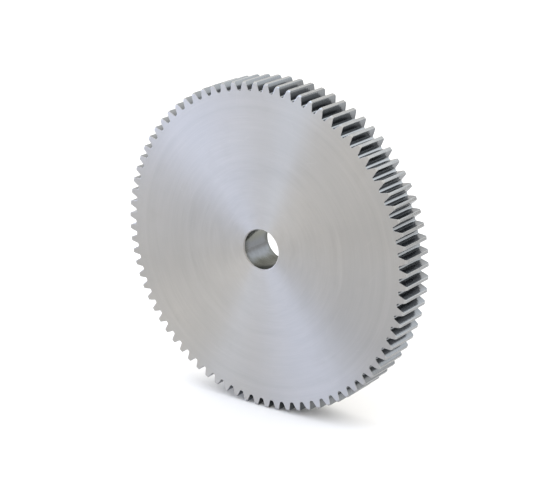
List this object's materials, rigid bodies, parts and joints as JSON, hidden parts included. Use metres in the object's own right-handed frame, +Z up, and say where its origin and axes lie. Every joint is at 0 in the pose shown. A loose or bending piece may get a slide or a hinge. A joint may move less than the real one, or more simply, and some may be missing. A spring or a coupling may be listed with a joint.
{
  "type": "spur gear",
  "caption": "Solid disc spur gear with straight involute teeth and a plain central bore.",
  "frame": {"origin": "centre of the gear: on the bore's axis, midway between the two faces", "axes": "+Y along the bore's axis, from the front face to the back face; +Z up through the middle of a tooth space, so the gear stands on two teeth"},
  "size_m": [0.164, 0.02, 0.164],
  "materials": {
    "machined_steel": "turned"
  },
  "bodies": {
    "root": {"spur_gear": "machined_steel"}
  },
  "joints": []
}
